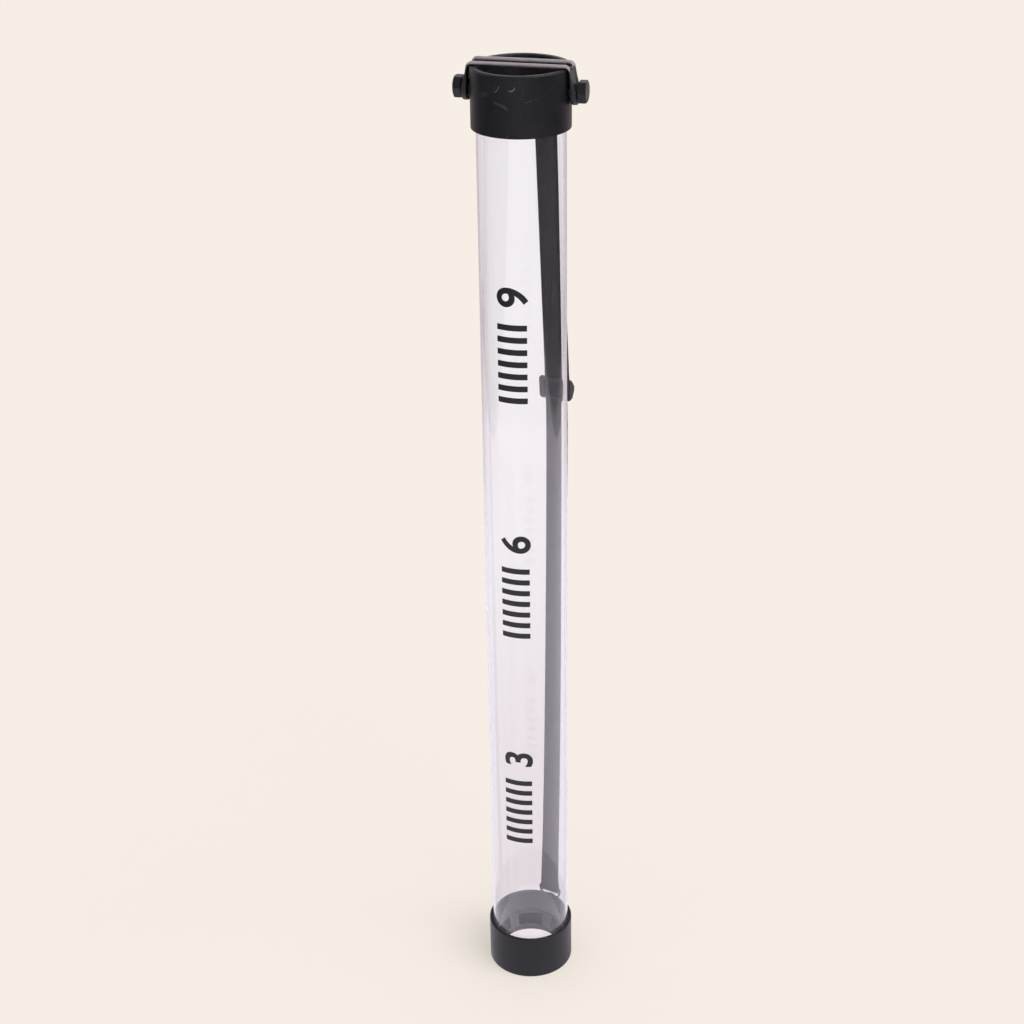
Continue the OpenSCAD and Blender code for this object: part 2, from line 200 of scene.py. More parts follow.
def grown(name, tree, settings):
    """The plain mesh that a Geometry Nodes tree makes with these values of its named inputs."""
    seed = bpy.data.objects.new(name, bpy.data.meshes.new(name + "_start"))
    bpy.context.scene.collection.objects.link(seed)
    modifier = seed.modifiers.new("grow", "NODES")
    modifier.node_group = tree
    for key, value in settings.items():
        modifier[socket_id(tree, key)] = value
    result = bpy.data.meshes.new_from_object(seed.evaluated_get(bpy.context.evaluated_depsgraph_get()))
    seed.modifiers.remove(modifier)
    seed.data = result
    return seed


def repeated_bars(material):
    """A row of flat bars, finely divided along their width so that they can be bent round the tube."""
    tree = bpy.data.node_groups.new("repeated_bars", "GeometryNodeTree")
    tree.interface.new_socket("Count", in_out="INPUT", socket_type="NodeSocketInt")
    for key in ("Pitch", "Size"):
        tree.interface.new_socket(key, in_out="INPUT", socket_type="NodeSocketVector")
    tree.interface.new_socket("Geometry", in_out="OUTPUT", socket_type="NodeSocketGeometry")
    add, link = tree.nodes.new, tree.links.new
    given, out = add("NodeGroupInput"), add("NodeGroupOutput")
    line = add("GeometryNodeMeshLine")
    link(given.outputs["Count"], line.inputs["Count"])
    link(given.outputs["Pitch"], line.inputs["Offset"])
    bar = add("GeometryNodeMeshCube")
    link(given.outputs["Size"], bar.inputs["Size"])
    bar.inputs["Vertices X"].default_value = BAR_CUTS
    row = add("GeometryNodeInstanceOnPoints")
    link(line.outputs["Mesh"], row.inputs["Points"])
    link(bar.outputs["Mesh"], row.inputs["Instance"])
    real = add("GeometryNodeRealizeInstances")
    link(row.outputs["Instances"], real.inputs["Geometry"])
    dressed = add("GeometryNodeSetMaterial")
    dressed.inputs["Material"].default_value = material
    link(real.outputs["Geometry"], dressed.inputs["Geometry"])
    link(dressed.outputs["Geometry"], out.inputs["Geometry"])
    return tree


def numeral(figure):
    """A plain figure as a flat mesh as thick as the ink, standing on the x axis."""
    letters = bpy.data.curves.new("numeral", "FONT")
    letters.body, letters.size, letters.extrude, letters.offset = figure, FIGURE_SIZE, INK / 2, FIGURE_BOLD
    writing = bpy.data.objects.new("numeral", letters)
    bpy.context.scene.collection.objects.link(writing)
    mesh = bpy.data.meshes.new_from_object(writing.evaluated_get(bpy.context.evaluated_depsgraph_get()))
    bpy.data.objects.remove(writing)
    return mesh


def printing_ink():
    n = Nodes("printing_ink")
    pinholes = n.span(n.noise(1800.0, 2.0, 0.6), 0.7, 0.76)
    cloud = n.noise(45.0, 3.0, 0.5)
    ink = n.add("BsdfPrincipled", None, Roughness=n.span(cloud, 0.3, 0.7, 0.3, 0.42))
    tone = n.blend(cloud, (0.006, 0.006, 0.007, 1), (0.012, 0.0115, 0.013, 1))
    n.put(ink.inputs["Base Color"], n.blend(n.math("MULTIPLY", pinholes, 0.5), tone, (0.2, 0.19, 0.2, 1)))
    n.tree.links.new(ink.outputs[0], n.out.inputs["Surface"])
    return n.material


ink_black = printing_ink()
bar_tree = repeated_bars(ink_black)
for figure_text, level in MARK_LEVELS.items():
    mark = grown("level_mark_" + figure_text, bar_tree, {
        "Count": BAR_COUNT, "Pitch": (0.0, BAR_PITCH, 0.0), "Size": (MARK_W, BAR_T, INK)})
    bm = bmesh.new()
    bm.from_mesh(mark.data)
    bmesh.ops.translate(bm, verts=bm.verts, vec=(0, BARS_FROM, 0))
    kept = set(bm.verts)
    bm.from_mesh(numeral(figure_text))
    figure = [v for v in bm.verts if v not in kept]
    top = max(v.co.y for v in figure)
    for v in figure:
        v.co = Vector((top / 2 - v.co.y, v.co.x + FIGURE_FROM, v.co.z))
    for i in range(-CUTS_EACH_WAY, CUTS_EACH_WAY + 1):
        bmesh.ops.bisect_plane(bm, geom=bm.verts[:] + bm.edges[:] + bm.faces[:], dist=1e-7,
                               plane_co=(i * CUT_PITCH + CUT_SHIFT, 0, 0), plane_no=(1, 0, 0))
    bmesh.ops.remove_doubles(bm, verts=bm.verts, dist=1e-7)
    for v in bm.verts:
        a, r = MARK_AT + v.co.x / TUBE_R, TUBE_R + INK * 0.7 + v.co.z
        v.co = Vector((r * math.cos(a), r * math.sin(a), level + v.co.y))
    bmesh.ops.recalc_face_normals(bm, faces=bm.faces)
    bm.to_mesh(mark.data)
    bm.free()
    finished(mark.name, "tube", ink_black)

# Top and bottom collars. Black injection-moulded plastic with a fine satin grain, glued over the tube's ends.
# The lugs for the strap's rings are part of the mouldings. Use has left small scuffs and paler patches.
GRAIN = 1500.0


def dress(material, *names):
    """Give these nodes of the CAD this material alone."""
    for name in names:
        nodes[name].data.materials.clear()
        nodes[name].data.materials.append(material)


def satin_plastic(name, colour, rough, grain_depth, gloss=0.5, arcs=(), smears=()):
    n = Nodes(name)
    cloud = n.noise(38.0, 5.0, 0.6)
    fine = n.noise(GRAIN, 2.0, 0.6)
    dust = n.span(n.noise(620.0, 2.0, 0.6), 0.67, 0.75)
    rub = n.span(n.noise(120.0, 6.0, 0.7, (1, 1, 0.35)), 0.6, 0.8)
    worn = n.math("MULTIPLY", rub, 0.12)
    marks = n.math("MAXIMUM", worn, n.math("MULTIPLY", dust, 0.4))
    for centre, radius, width, low, high in arcs:
        marks = n.math("MAXIMUM", marks, arc_mark(n, centre, radius, width, low, high))
    for centre, turn, length, width, strength in smears:
        marks = n.math("MAXIMUM", marks, smear_mark(n, centre, turn, length, width, strength))
    pale = tuple(min(1.0, c * 6 + 0.09) for c in colour[:3]) + (1,)
    tone = n.blend(n.span(cloud, 0.3, 0.7), colour, tuple(c * 1.35 for c in colour[:3]) + (1,))
    shell = n.add("BsdfPrincipled", None, Roughness=n.span(cloud, 0.25, 0.75, rough - 0.05, rough + 0.06))
    n.put(shell.inputs["Base Color"], n.blend(marks, tone, pale))
    n.put(shell.inputs["Specular IOR Level"], gloss)
    height = n.math("ADD", fine, n.math("MULTIPLY", marks, 0.6))
    n.put(shell.inputs["Normal"], n.bump(height, 0.35, grain_depth))
    n.tree.links.new(shell.outputs[0], n.out.inputs["Surface"])
    return n.material


def arc_mark(n, centre, radius, width, low, high):
    """A curved scuff on the collar's front: part of a ring round centre (x, z), between two angles."""
    split = n.add("SeparateXYZ", None, Vector=n.place)
    x = n.math("SUBTRACT", split.outputs[0], centre[0])
    z = n.math("SUBTRACT", split.outputs[2], centre[1])
    reach = n.math("SQRT", n.math("ADD", n.math("MULTIPLY", x, x), n.math("MULTIPLY", z, z)))
    off = n.math("ABSOLUTE", n.math("SUBTRACT", reach, radius))
    ring = n.span(off, width * 0.3, width, 1.0, 0.0)
    angle = n.math("ARCTAN2", z, x)
    middle, half = (low + high) / 2, (high - low) / 2
    along = n.math("ABSOLUTE", n.math("SUBTRACT", angle, math.radians(middle)))
    part = n.span(along, math.radians(half * 0.6), math.radians(half), 1.0, 0.0)
    front = n.math("LESS_THAN", split.outputs[1], 0.0)
    return n.math("MULTIPLY", n.math("MULTIPLY", ring, part), front)


def smear_mark(n, centre, turn, length, width, strength):
    """A soft rubbed streak on the collar's front, round centre (x, z), turned from level by some degrees."""
    split = n.add("SeparateXYZ", None, Vector=n.place)
    x = n.math("SUBTRACT", split.outputs[0], centre[0])
    z = n.math("SUBTRACT", split.outputs[2], centre[1])
    c, s = math.cos(math.radians(turn)), math.sin(math.radians(turn))
    along = n.math("ADD", n.math("MULTIPLY", x, c / length), n.math("MULTIPLY", z, s / length))
    off = n.math("SUBTRACT", n.math("MULTIPLY", z, c / width), n.math("MULTIPLY", x, s / width))
    reach = n.math("ADD", n.math("MULTIPLY", along, along), n.math("MULTIPLY", off, off))
    front = n.math("LESS_THAN", split.outputs[1], 0.0)
    rough = n.span(n.noise(700.0, 3.0, 0.6), 0.3, 0.65, 0.35, 1.0)
    return n.math("MULTIPLY", n.math("MULTIPLY", n.span(reach, 0.1, 1.0, strength, 0.0), rough), front)


collar_black = satin_plastic(
    "collar_black", (0.0076, 0.0072, 0.0104, 1), 0.42, 0.00012, 0.34,
    arcs=[((0.0018, 0.8750), 0.0034, 0.0006, -125, 5), ((-0.0150, 0.8765), 0.0075, 0.0003, -70, -5)],
    smears=[((-0.0122, 0.8726), 55, 0.0034, 0.0003, 0.35), ((-0.0072, 0.8605), -18, 0.0085, 0.0016, 0.22),
            ((-0.0030, 0.8585), -35, 0.0048, 0.0010, 0.3), ((0.0136, 0.8630), 12, 0.0013, 0.0003, 0.9),
            ((0.0165, 0.8637), 12, 0.0010, 0.0003, 0.9), ((0.0205, 0.8650), 10, 0.0036, 0.0002, 0.3),
            ((-0.0208, 0.8664), 20, 0.0060, 0.0022, 0.12), ((-0.0010, 0.8366), 80, 0.0012, 0.0004, 0.8),
            ((0.0112, 0.8710), 88, 0.0060, 0.0002, 0.2), ((0.0290, 0.0265), 32, 0.0026, 0.0003, 0.3),
            ((0.0245, 0.0170), 20, 0.0090, 0.0002, 0.2), ((0.0270, 0.0130), 24, 0.0080, 0.0002, 0.2),
            ((-0.0330, 0.0290), 70, 0.0006, 0.0005, 0.8), ((-0.0345, 0.0235), 60, 0.0006, 0.0005, 0.8),
            ((-0.0290, 0.0385), 40, 0.0007, 0.0005, 0.8)])
dress(collar_black, "top_collar", "bottom_collar")

# Gripper ring. An elastic black ring pressed into the bottom collar, with six windows that let its lip give
# way to a ball.


def gripper_rubber():
    n = Nodes("gripper_rubber")
    cloud = n.noise(60.0, 4.0, 0.6)
    fine = n.noise(1200.0, 2.0, 0.5)
    shell = n.add("BsdfPrincipled", None, Roughness=n.span(cloud, 0.3, 0.7, 0.3, 0.42))
    # Painted light: above its lowest few millimetres the black ring is painted light grey, as its fingers and cone
    # look where light falls on them.
    painted_lit_fingers = n.blend(cloud, (0.15, 0.14, 0.168, 1), (0.2, 0.188, 0.222, 1))
    height = n.add("SeparateXYZ", None, Vector=n.place).outputs[2]
    n.put(shell.inputs["Base Color"], n.blend(n.span(height, 0.0045, 0.0085), (0.06, 0.056, 0.068, 1), painted_lit_fingers))
    n.put(shell.inputs["Normal"], n.bump(fine, 0.2, 0.0001))
    n.tree.links.new(shell.outputs[0], n.out.inputs["Surface"])
    return n.material


dress(gripper_rubber(), "gripper_ring")

# Hex-headed pegs. Two black moulded pegs, screwed into the top collar's wall from the left and the right, which
# hold the rubber band. Their shape is the CAD's. Their surface is a little smoother than the collars'.
peg_black = satin_plastic("peg_black", (0.0068, 0.0065, 0.0078, 1), 0.38, 0.00008, 0.35)
dress(peg_black, "left_peg", "right_peg")

# Rubber band. One endless moulded band, looped over both pegs, with two strands across the open mouth.
# Each half, front and rear, is one mesh from the bottom of the left peg to the bottom of the right one. At each
# peg a thin web closes the space between the band's two legs.
PEG_Z, RIM_Z = 0.8638, 0.883
BAND_IN, BAND_T = 0.00605, 0.0046
BAND_W, BAND_X = 0.005, 0.0418
LEG_X, LEG_T, COLLAR_R = 0.0402, 0.0012, 0.04055
STRAND_H, STRAND_Z, CORNER_R = 0.0029, 0.8831, 0.0032
BAND_ROUND, ROUND_STEPS, LEG_TAPER = 0.0012, 3, 0.8
ARC_STEPS, LEG_STEPS, CORNER_STEPS = 12, 12, 10
WEB_TOP, WEB_LAP, WEB_DEPTH, WEB_SHARE, WEB_STEPS, WEB_ROWS = 0.0172, 0.0003, 0.15, 0.6, 24, 8


def rounded(w, h, r):
    """Corner points of a w by h rectangle with rounded corners, centred, counter-clockwise."""
    points = []
    for cx, cy, start in ((1, 1, 0), (-1, 1, 90), (-1, -1, 180), (1, -1, 270)):
        for i in range(ROUND_STEPS + 1):
            a = math.radians(start + 90 * i / ROUND_STEPS)
            points.append((cx * (w / 2 - r) + r * math.cos(a), cy * (h / 2 - r) + r * math.sin(a)))
    return points


def swept(name, sections):
    """A solid through a row of cross-sections with equally many points each, closed at both ends."""
    bm = bmesh.new()
    rows = [[bm.verts.new(p) for p in section] for section in sections]
    count = len(rows[0])
    for a, b in zip(rows, rows[1:]):
        for j in range(count):
            k = (j + 1) % count
            bm.faces.new((a[j], a[k], b[k], b[j]))
    bm.faces.new(rows[0][::-1])
    bm.faces.new(rows[-1])
    return add_mesh(name, bm)


def leg_place(t):
    """The inner face and the thickness of a leg, with t from 0 at the peg's axis to 1 at the collar's rim."""
    return BAND_X + (LEG_X - BAND_X) * t, BAND_W + (LEG_T - BAND_W) * t ** LEG_TAPER


def band_half(name, side):
    """Half of the band from peg to peg. side is -1 for the front half, 1 for the rear half."""
    mid_y = BAND_IN + BAND_T / 2
    right = []
    for i in range(ARC_STEPS + 1):
        a = math.radians(90 * i / ARC_STEPS)
        centre = Vector((BAND_X + BAND_W / 2, side * mid_y * math.sin(a), PEG_Z - mid_y * math.cos(a)))
        out = Vector((0, side * math.sin(a), -math.cos(a)))
        right.append((centre, Vector((1, 0, 0)), out, BAND_W, BAND_T))
    corner = Vector((LEG_X + LEG_T / 2 - CORNER_R, side * mid_y, STRAND_Z + STRAND_H / 2 - CORNER_R))
    for i in range(1, LEG_STEPS + 1):
        t = i / LEG_STEPS
        x, thick = leg_place(t)
        right.append((Vector((x + thick / 2, side * mid_y, PEG_Z + (corner.z - PEG_Z) * t)), Vector((1, 0, 0)),
                      Vector((0, side, 0)), thick, BAND_T))
    for i in range(1, CORNER_STEPS + 1):
        a = math.radians(90 / CORNER_STEPS * i)
        way = Vector((math.cos(a), 0, math.sin(a)))
        right.append((corner + CORNER_R * way, way, Vector((0, side, 0)),
                      LEG_T + (STRAND_H - LEG_T) * i / CORNER_STEPS, BAND_T))
    for x in (0.036, 0.032, 0.025, 0.012, 0.0):
        right.append((Vector((x, side * mid_y, STRAND_Z + STRAND_H / 2)), Vector((0, 0, 1)),
                      Vector((0, side, 0)), STRAND_H, BAND_T))
    left = [(Vector((-c.x, c.y, c.z)), Vector((-u.x, u.y, u.z)), v, w, t) for c, u, v, w, t in right[-2::-1]]
    sections = []
    for c, u, v, w, t in right + left:
        section = [c + u * p + v * q for p, q in rounded(w, t, min(BAND_ROUND, w * 0.45))]
        for point in section:
            beside_rim = min(1.0, max(0.0, (point.z - PEG_Z) / (RIM_Z - PEG_Z))) * abs(u.x)
            hug = math.sqrt(COLLAR_R ** 2 - point.y ** 2) - math.sqrt(COLLAR_R ** 2 - BAND_IN ** 2)
            point.x += math.copysign(hug * beside_rim, point.x) if abs(point.y) > BAND_IN else 0.0
        sections.append(section)
    return swept(name, sections)


def band_web(name, side):
    """The thin web between the two legs above a peg. side is -1 for the left end, 1 for the right end."""
    sections = []
    for i in range(WEB_STEPS + 1):
        a = math.pi * i / WEB_STEPS
        y, low = (BAND_IN + WEB_LAP) * math.cos(a), BAND_IN * math.sin(a)
        bulge = math.sqrt(COLLAR_R ** 2 - y ** 2) - math.sqrt(COLLAR_R ** 2 - BAND_IN ** 2)
        inner, outer = [], []
        for j in range(WEB_ROWS + 1):
            above = low + (WEB_TOP - low) * j / WEB_ROWS
            x, thick = leg_place(above / (RIM_Z - PEG_Z))
            x += max(0.0, bulge) * above / (RIM_Z - PEG_Z) + thick * WEB_DEPTH
            inner.append(Vector((side * x, y, PEG_Z + above)))
            outer.append(Vector((side * (x + thick * WEB_SHARE), y, PEG_Z + above)))
        sections.append(outer + inner[::-1])
    return swept(name, sections)


def band_rubber():
    n = Nodes("band_rubber")
    cloud = n.noise(150.0, 5.0, 0.6, (0.4, 1, 1))
    sheen_patches = n.noise(420.0, 4.0, 0.65, (0.3, 1, 1))
    upwards = n.add("SeparateXYZ", None, Vector=n.add("NewGeometry").outputs["Normal"]).outputs[2]
    height = n.add("SeparateXYZ", None, Vector=n.place).outputs[2]
    # Painted sheen: the strands' upward-facing tops are painted a pale mauve where the overhead light falls on
    # them, in random patches.
    on_strand = n.math("MULTIPLY", n.span(height, 0.8805, 0.8832), n.span(upwards, -0.6, 0.15))
    painted_top_sheen = n.math("MULTIPLY", on_strand, n.span(sheen_patches, 0.25, 0.7, 0.65, 1.0))
    shell = n.add("BsdfPrincipled", None, Roughness=n.span(cloud, 0.3, 0.7, 0.4, 0.55))
    n.put(shell.inputs["Base Color"], n.blend(painted_top_sheen, (0.0095, 0.0088, 0.0102, 1), (0.42, 0.365, 0.39, 1)))
    n.put(shell.inputs["Specular IOR Level"], 0.6)
    n.put(shell.inputs["Normal"], n.bump(cloud, 0.25, 0.0003))
    n.tree.links.new(shell.outputs[0], n.out.inputs["Surface"])
    return n.material


rubber = band_rubber()
for name, side, body in (("band_front", -1, "front_strand"), ("band_rear", 1, "rear_strand")):
    band_half(name, side)
    strand = "band_front_strand" if side < 0 else "band_rear_strand"
    end = "band_left_end" if side < 0 else "band_right_end"
    piece = finished(name, None, rubber, [strand, end])
    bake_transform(piece)
for name, side in (("band_web_left", -1), ("band_web_right", 1)):
    band_web(name, side)
    finished(name, "tube", rubber)

# D-rings. Bent steel wire with a black finish, one in each collar's lug, that carry the strap. Their shape is the
# CAD's, with a thin glossy coat on it.


def ring_wire():
    n = Nodes("ring_wire")
    cloud = n.noise(300.0, 4.0, 0.6)
    shell = n.add("BsdfPrincipled", None, Roughness=n.span(cloud, 0.3, 0.7, 0.25, 0.4))
    n.put(shell.inputs["Base Color"], n.blend(cloud, (0.018, 0.018, 0.02, 1), (0.03, 0.03, 0.034, 1)))
    n.put(shell.inputs["Coat Weight"], 0.4)
    n.put(shell.inputs["Normal"], n.bump(cloud, 0.15, 0.0001))
    n.tree.links.new(shell.outputs[0], n.out.inputs["Surface"])
    return n.material


dress(ring_wire(), "upper_ring", "lower_ring")

# Carry strap. Black webbing, 20 mm wide and 1.2 mm thick, woven with a fine rib across it. It hangs slack down the
# back from the upper ring to the lower ring, where its tail is sewn to it. Its other end comes back down from
# the upper ring to the slider.
STRAP_TURN, UPPER_LEAN, LOWER_LEAN = math.radians(14), math.radians(4.2), math.radians(4.5)
RING_R, STRAP_W, PLY = 0.04545, 0.02, 0.0012
LOOP_IN = 0.00205
LOW_BAR, TOP_BAR = 0.0475, 0.8314
LOOP_Z = LOW_BAR - 0.0012
SLIDER_Z = TOP_BAR - (TOP_BAR - 0.585) / math.cos(UPPER_LEAN)
END_TOP = SLIDER_Z + 0.036
LOOP_LEG, SLIDE_RANGE = 0.0024, 0.15
TAIL_LEAVES, TAIL_MEETS, TAIL_END = 0.00125, 0.012, 0.04
CENTRE_BAR_IN, CENTRE_BAR_R, END_LEAVES, END_MEETS = 0.0013, 0.0019, 0.0013, 0.01
UPPER_PULL, LOWER_PULL, SLACK_STEPS = 0.03, 0.12, 24
ROW_STEP, BEND_STEPS, EDGE_STEPS = 0.003, 14, 8
FRAY_IN, FRAY_OUT, FRAY_FROM = -0.00012, 0.00005, 0.008
UPPER_STRAIGHT, LOWER_STRAIGHT = TOP_BAR - SLIDER_Z + 0.0175, 0.0482
e_out = Vector((math.sin(STRAP_TURN), math.cos(STRAP_TURN), 0))
e_side = Vector((math.cos(STRAP_TURN), -math.sin(STRAP_TURN), 0))


def leaning(z, lean, points):
    """Points (out, z) turned outwards about a bar at height z, by the angle at which the strap leaves it."""
    c, s = math.cos(lean), math.sin(lean)
    return [(x * c - (y - z) * s, z + x * s + (y - z) * c) for x, y in points]


def slack_line(out):
    """The strap's slack middle, offset outwards, from its upper straight length down to its lower one."""
    upper_way = Vector((math.sin(UPPER_LEAN), -math.cos(UPPER_LEAN)))
    lower_way = Vector((math.sin(LOWER_LEAN), math.cos(LOWER_LEAN)))
    a = Vector((0, TOP_BAR)) + UPPER_STRAIGHT * upper_way
    d = Vector((0, LOOP_Z)) + LOWER_STRAIGHT * lower_way
    b, c = a + UPPER_PULL * upper_way, d + LOWER_PULL * lower_way
    line = []
    for i in range(SLACK_STEPS + 1):
        t = i / SLACK_STEPS
        p = (1 - t) ** 3 * a + 3 * (1 - t) ** 2 * t * b + 3 * (1 - t) * t * t * c + t ** 3 * d
        way = ((1 - t) ** 2 * (b - a) + 2 * (1 - t) * t * (c - b) + t * t * (d - c)).normalized()
        line.append((p.x - way.y * out, p.y + way.x * out))
    return line


def on_strap(out, side, z):
    """A point of the strap's own frame: outwards from the rings' plane, across the strap, and up."""
    return e_out * (RING_R + out) + e_side * side + Vector((0, 0, z))


def webbing(name, path):
    """A flat strap along path, whose points are (out, z) of its middle. Its UV map is in metres."""
    uneven = random.Random(name)
    line = [Vector((path[0][0], path[0][1]))]
    for p in path[1:]:
        p = Vector(p)
        cuts = max(1, math.ceil((p - line[-1]).length / ROW_STEP))
        start = line[-1]
        line += [start.lerp(p, i / cuts) for i in range(1, cuts + 1)]
    across = []
    half, edge = STRAP_W / 2, PLY * 0.5
    for i in range(EDGE_STEPS + 1):
        a = math.pi / 2 - math.pi * i / EDGE_STEPS
        across.append((half - edge + edge * math.cos(a), edge * math.sin(a)))
    flat = [(s, -PLY / 2) for s in (0.0065, 0.0033, 0.0, -0.0033, -0.0065)]
    across = across + flat + [(-x, -y) for x, y in across] + [(-s, PLY / 2) for s, _ in flat]
    bm = bmesh.new()
    uv = bm.loops.layers.uv.new("weave")
    rows, runs, run = [], [], 0.0
    for i, p in enumerate(line):
        before, after = line[max(i - 1, 0)], line[min(i + 1, len(line) - 1)]
        tangent = (after - before).normalized()
        normal = Vector((tangent.y, -tangent.x))
        if i:
            run += (p - line[i - 1]).length
        runs.append(run)
        pulled = {-1: uneven.uniform(FRAY_IN, FRAY_OUT), 1: uneven.uniform(FRAY_IN, FRAY_OUT)}
        row = []
        for s, q in across:
            sign = math.copysign(1, s)
            frayed = s + (sign * pulled[sign] if abs(s) > FRAY_FROM else 0.0)
            row.append(bm.verts.new(on_strap(p.x + normal.x * q, frayed, p.y + normal.y * q)))
        rows.append(row)
    count = len(across)
    for i in range(len(rows) - 1):
        for j in range(count):
            k = (j + 1) % count
            face = bm.faces.new((rows[i][j], rows[i][k], rows[i + 1][k], rows[i + 1][j]))
            for loop, (r, c) in zip(face.loops, ((i, j), (i, k), (i + 1, k), (i + 1, j))):
                loop[uv].uv = (across[c][0], runs[r])
    for row, place in ((rows[0][::-1], 0), (rows[-1], -1)):
        for loop in bm.faces.new(row).loops:
            loop[uv].uv = (0.0, runs[place])
    return add_mesh(name, bm)


def strap_fabric():
    n = Nodes("strap_fabric")
    weave = n.add("UVMap", {"uv_map": "weave"}).outputs[0]
    painted_lit_fingers = n.add("TexWave", {"wave_type": "BANDS", "bands_direction": "Y", "wave_profile": "SIN"},
                 Vector=weave, Scale=260.0, Distortion=1.2, Detail=2.0, Detail_Scale=3.0).outputs["Fac"]
    yarns = n.add("TexWave", {"wave_type": "BANDS", "bands_direction": "X", "wave_profile": "SIN"},
                  Vector=weave, Scale=200.0, Distortion=0.8, Detail=1.0).outputs["Fac"]
    knit = n.math("MULTIPLY", n.math("ADD", painted_lit_fingers, 0.35), n.math("ADD", yarns, 0.45))
    fuzz = n.noise(2400.0, 3.0, 0.7)
    cloud = n.noise(30.0, 4.0, 0.6)
    speckle = n.span(n.noise(1100.0, 2.0, 0.6), 0.56, 0.7)
    across = n.math("ABSOLUTE", n.add("SeparateXYZ", None, Vector=weave).outputs[0])
    selvedge = n.span(across, STRAP_W * 0.42, STRAP_W * 0.45)
    tone = n.blend(n.span(knit, 0.1, 1.2), (0.012, 0.0118, 0.0136, 1), (0.055, 0.053, 0.06, 1))
    tone = n.blend(n.math("MULTIPLY", speckle, 0.55), tone, (0.1, 0.09, 0.09, 1))
    tone = n.blend(n.span(cloud, 0.35, 0.75, 0.0, 0.35), tone, (0.05, 0.044, 0.045, 1))
    tone = n.blend(n.math("MULTIPLY", selvedge, 0.6), tone, (0.012, 0.0112, 0.0116, 1))
    cloth = n.add("BsdfPrincipled", None, Roughness=n.span(fuzz, 0.3, 0.7, 0.75, 0.9))
    n.put(cloth.inputs["Base Color"], tone)
    n.put(cloth.inputs["Specular IOR Level"], 0.25)
    n.put(cloth.inputs["Sheen Weight"], 0.12)
    n.put(cloth.inputs["Sheen Roughness"], 0.5)
    height = n.math("ADD", knit, n.math("MULTIPLY", fuzz, 0.5))
    n.put(cloth.inputs["Normal"], n.bump(height, 0.8, 0.0003))
    n.tree.links.new(cloth.outputs[0], n.out.inputs["Surface"])
    return n.material


def bend_points(centre, radius, start, end):
    """Points of an arc round centre (out, z), from one angle to the other in degrees."""
    angles = [math.radians(start + (end - start) * i / BEND_STEPS) for i in range(BEND_STEPS + 1)]
    return [(centre[0] + radius * math.cos(a), centre[1] + radius * math.sin(a)) for a in angles]


fabric = strap_fabric()
mid = LOOP_IN + PLY / 2
main_path = [
    *leaning(TOP_BAR, UPPER_LEAN, [(mid, TOP_BAR - LOOP_LEG), *bend_points((0, TOP_BAR), mid, 0, 180)]),
    *slack_line(-mid),
    *leaning(LOOP_Z, -LOWER_LEAN, [
        *bend_points((0, LOOP_Z), mid, 180, 360), (mid, LOW_BAR + TAIL_LEAVES),
        (-LOOP_IN + PLY / 2, LOW_BAR + TAIL_MEETS), (-LOOP_IN + PLY / 2, LOW_BAR + TAIL_END)])]
webbing("strap_main", main_path)
finished("strap_main", "strap", fabric, ["carry_strap"], 50)
doubled = leaning(TOP_BAR, UPPER_LEAN, [(mid, TOP_BAR - LOOP_LEG), (mid, END_TOP)])
webbing("strap_doubled", doubled)
finished("strap_doubled", "strap", fabric, ["strap_return"], 50)
held_at = on_strap(doubled[0][0], 0, doubled[0][1])
slide_way = held_at - on_strap(doubled[1][0], 0, doubled[1][1])
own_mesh(bpy.data.objects["strap_doubled"])
bar_out = LOOP_IN - CENTRE_BAR_IN
webbing("strap_end", leaning(TOP_BAR, UPPER_LEAN, [
    (mid, END_TOP), (mid, SLIDER_Z), *bend_points((bar_out, SLIDER_Z), CENTRE_BAR_R, 0, -180),
    (bar_out - CENTRE_BAR_R, SLIDER_Z + END_LEAVES), (LOOP_IN - PLY / 2, SLIDER_Z + END_MEETS),
    (LOOP_IN - PLY / 2, END_TOP)]))
finished("strap_end", "slider", fabric, ["strap_end_loop"], 50)

# Slider. Black moulded plastic with solid side rails: two end bars lie inside the strap, and the centre bar
# stands outside it and holds the strap's sewn end.
slider_black = satin_plastic("slider_black", (0.03, 0.0285, 0.031, 1), 0.34, 0.00006)
dress(slider_black, "strap_slider")

# Bar tacks. Close rows of black thread that sew the strap's two ends. The CAD's blocks take the thread's look, and
# rows of single stitches lie on the webbing's outer face.
STITCH, STITCH_PITCH, STITCH_SIDE = (0.0006, 0.0015, 0.0003), 0.0021, 0.0074


def thread_black():
    n = Nodes("thread_black")
    twist = n.add("TexWave", {"wave_type": "BANDS", "bands_direction": "DIAGONAL"},
                  Vector=n.place, Scale=900.0, Distortion=0.5).outputs["Fac"]
    yarn = n.add("BsdfPrincipled", None, Roughness=0.6)
    n.put(yarn.inputs["Base Color"], n.blend(twist, (0.02, 0.02, 0.022, 1), (0.05, 0.05, 0.052, 1)))
    n.put(yarn.inputs["Sheen Weight"], 0.2)
    n.put(yarn.inputs["Normal"], n.bump(twist, 0.5, 0.0002))
    n.tree.links.new(yarn.outputs[0], n.out.inputs["Surface"])
    return n.material


def stitch_rows(name, body, out, low, high, bar_z, lean):
    """Two lengthwise rows of stitches on the strap's outer face, between two heights of the plumb strap."""
    for side in (-1, 1):
        row = grown("%s_%s" % (name, "left" if side < 0 else "right"), stitch_tree, {
            "Count": int((high - low) / STITCH_PITCH), "Pitch": (0.0, STITCH_PITCH, 0.0), "Size": STITCH})
        for v in row.data.vertices:
            (o, z), = leaning(bar_z, lean, [(out + v.co.z, low + v.co.y)])
            v.co = on_strap(o, side * STITCH_SIDE + v.co.x, z)
        finished(row.name, body, thread)


